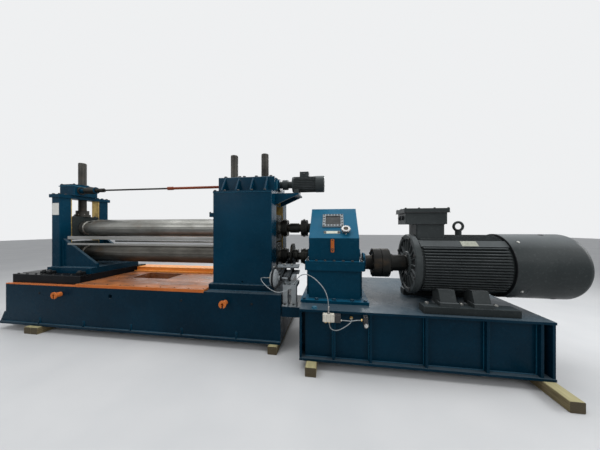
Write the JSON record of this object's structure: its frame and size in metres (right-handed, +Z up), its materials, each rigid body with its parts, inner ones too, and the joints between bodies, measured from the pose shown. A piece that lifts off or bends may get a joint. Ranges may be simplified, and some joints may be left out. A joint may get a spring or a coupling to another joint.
{
  "type": "slitting line",
  "caption": "Rotary slitting head: knife arbors between a fixed and a sliding stand on a welded bed, driven through couplings by a gearbox and motor on their own base.",
  "frame": {"origin": "on the floor, at the middle of the underside of the bed's right-hand timber, under the arbors", "axes": "+X along the arbors towards the drive motor, +Y away from the operator's side, +Z up"},
  "size_m": [7.84, 2.08, 2.79],
  "materials": {
    "timber": "weathered sawn softwood",
    "petrol_paint": "semi-gloss enamel",
    "table_black": "oiled ground iron",
    "deck_orange": "worn, part rusted",
    "bollard_orange": "matt enamel",
    "chock_grey": "satin",
    "screw_steel": "greased",
    "arbor_steel": "ground",
    "coupling_dark": "oiled dark steel",
    "liner_bronze": "greased bronze",
    "lever_dark": "satin",
    "tube_brown": "satin",
    "caliper_grey": "satin",
    "motor_grey": "satin",
    "bright_metal": "bright",
    "valve_cream": "satin",
    "regulator_dark": "matt",
    "hose_grey": "satin"
  },
  "bodies": {
    "root": {"timbers": "timber", "bed_frame": "petrol_paint", "slideway_table": "table_black", "deck_plate": "deck_orange", "rear_beam": "deck_orange", "lifting_bollards": "bollard_orange", "fixed_foot": "petrol_paint", "fixed_stand_walls": "petrol_paint", "fixed_top_plate": "petrol_paint", "screw_gearcase": "petrol_paint", "drive_lower_chock": "chock_grey", "stripper_bars": "arbor_steel", "screw_motor": "motor_grey", "screw_motor_bracket": "petrol_paint", "fixed_liners": "liner_bronze", "brake_caliper": "caliper_grey", "brake_levers": "lever_dark", "brake_chamber": "caliper_grey", "drive_base": "petrol_paint", "gearbox_lower_case": "petrol_paint", "gearbox_upper_case": "petrol_paint", "inspection_window": "caliper_grey", "breather": "bright_metal", "oil_gauge": "bollard_orange", "bearing_caps": "petrol_paint", "motor_end_bell": "motor_grey", "motor_frame": "motor_grey", "motor_rails": "motor_grey", "fan_cowl": "motor_grey", "terminal_box": "motor_grey", "motor_eyebolt": "motor_grey", "brake_valves": "valve_cream", "air_regulator": "regulator_dark", "brake_hose": "hose_grey", "return_hose": "hose_grey", "supply_hose": "hose_grey"},
    "outboard_stand": {"outboard_base": "petrol_paint", "outboard_uprights": "petrol_paint", "outboard_top_plate": "petrol_paint", "outboard_worm_box": "petrol_paint", "outboard_liners": "liner_bronze", "outboard_lower_chock": "chock_grey"},
    "outboard_chock": {"outboard_upper_chock": "chock_grey", "outboard_screw": "screw_steel"},
    "drive_chock": {"drive_upper_chock": "chock_grey", "drive_screws": "screw_steel"},
    "upper_arbor": {"upper_arbor": "arbor_steel", "upper_arbor_sleeve": "coupling_dark"},
    "lower_arbor": {"lower_arbor": "arbor_steel", "lower_coupling_shaft": "coupling_dark", "brake_disc": "coupling_dark"},
    "upper_output": {"gearbox_output": "coupling_dark"},
    "upper_cover": {"coupling_cover": "coupling_dark"},
    "upper_shaft": {"upper_coupling_shaft": "coupling_dark"},
    "sync_rod": {"sync_rod": "coupling_dark"},
    "sync_tube": {"sync_tube": "tube_brown"},
    "input_line": {"input_coupling": "coupling_dark"}
  },
  "joints": [
    {"name": "outboard_slide", "type": "slide", "parent": "root", "child": "outboard_stand", "axis": [-1, 0, 0], "range_m": [0, 0.4]},
    {"name": "drive_chock_lift", "type": "slide", "parent": "root", "child": "drive_chock", "axis": [0, 0, 1], "range_m": [-0.01, 0.05]},
    {"name": "outboard_chock_lift", "type": "slide", "parent": "outboard_stand", "child": "outboard_chock", "axis": [0, 0, 1], "range_m": [-0.01, 0.05]},
    {"name": "lower_arbor_spin", "type": "hinge", "parent": "root", "child": "lower_arbor", "pos_m": [-0.94, 0, 1.16], "axis": [1, 0, 0], "continuous": true},
    {"name": "upper_arbor_spin", "type": "hinge", "parent": "drive_chock", "child": "upper_arbor", "pos_m": [-0.94, 0, 1.6], "axis": [1, 0, 0], "continuous": true},
    {"name": "upper_output_spin", "type": "hinge", "parent": "root", "child": "upper_output", "pos_m": [0.322, 0, 1.6], "axis": [1, 0, 0], "continuous": true},
    {"name": "upper_shaft_tilt", "type": "hinge", "parent": "root", "child": "upper_cover", "pos_m": [0.322, 0, 1.6], "axis": [0, 1, 0], "range_deg": [-2, 9.5]},
    {"name": "upper_shaft_spin", "type": "hinge", "parent": "upper_cover", "child": "upper_shaft", "pos_m": [0.322, 0, 1.6], "axis": [1, 0, 0], "continuous": true},
    {"name": "input_spin", "type": "hinge", "parent": "root", "child": "input_line", "pos_m": [1.36, -0.5, 1.16], "axis": [1, 0, 0], "continuous": true},
    {"name": "sync_rod_turn", "type": "hinge", "parent": "outboard_stand", "child": "sync_rod", "pos_m": [-3.24, -0.13, 2.258], "axis": [1, 0, 0], "range_deg": [-1810, 9010]},
    {"name": "sync_tube_turn", "type": "hinge", "parent": "root", "child": "sync_tube", "pos_m": [-1.44, -0.13, 2.258], "axis": [1, 0, 0], "range_deg": [-1810, 9010]}
  ],
  "couplings": [
    {"joint": "outboard_chock_lift", "follows": "drive_chock_lift", "ratio": 1},
    {"joint": "upper_shaft_tilt", "follows": "drive_chock_lift", "rad_per_m": 3.2051},
    {"joint": "sync_rod_turn", "follows": "drive_chock_lift", "rad_per_m": 3141.6},
    {"joint": "sync_tube_turn", "follows": "drive_chock_lift", "rad_per_m": 3141.6},
    {"joint": "upper_arbor_spin", "follows": "lower_arbor_spin", "ratio": -1},
    {"joint": "upper_output_spin", "follows": "lower_arbor_spin", "ratio": -1},
    {"joint": "upper_shaft_spin", "follows": "lower_arbor_spin", "ratio": -1},
    {"joint": "input_spin", "follows": "lower_arbor_spin", "ratio": 10}
  ]
}
